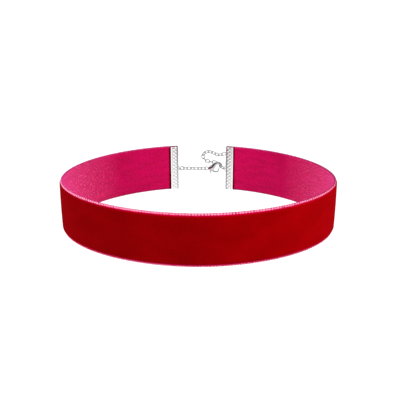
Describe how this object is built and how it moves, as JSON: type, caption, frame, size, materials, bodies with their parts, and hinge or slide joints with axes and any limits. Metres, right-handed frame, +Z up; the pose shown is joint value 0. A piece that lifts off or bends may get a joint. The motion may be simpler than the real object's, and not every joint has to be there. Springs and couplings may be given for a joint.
{
  "type": "choker necklace",
  "caption": "Wide velvet ribbon choker with folded metal end clamps, a lobster clasp on a short chain and an extension chain.",
  "frame": {"origin": "on the neck's axis where the ring of ribbon is widest, half way up the ribbon", "axes": "+Z up along the neck, -Y to the front of the neck, +Y to the clasp at the back, +X to the clasp's catch side"},
  "size_m": [0.1324, 0.1016, 0.025],
  "materials": {
    "velvet": "cut pile, dark red, matte",
    "silver": "bright plated"
  },
  "bodies": {
    "choker": {"ribbon": "velvet", "clamp_left": "silver", "clamp_right": "silver", "chain_jump_ring": "silver", "chain_link_01": "silver", "chain_link_02": "silver", "chain_link_03": "silver", "chain_link_04": "silver", "chain_link_05": "silver", "chain_link_06": "silver", "clasp_body": "silver", "clasp_pin": "silver", "catch_jump_ring": "silver", "tail_link_01": "silver", "tail_link_02": "silver", "tail_link_03": "silver", "tail_link_04": "silver", "tail_link_05": "silver", "tail_link_06": "silver", "tail_link_07": "silver", "tail_link_08": "silver", "tail_link_09": "silver", "tail_link_10": "silver", "tail_link_11": "silver", "tail_link_12": "silver", "tail_link_13": "silver", "tail_link_14": "silver"},
    "lever": {"clasp_lever": "silver"}
  },
  "joints": [
    {"name": "lever_hinge", "type": "hinge", "parent": "choker", "child": "lever", "pos_m": [0.00703, 0.05001, -0.00125], "axis": [-0.0285, -0.9996, 0], "range_deg": [0, 18], "stiffness_Nm_per_rad": 0.0001, "springref_deg": -17.19}
  ]
}
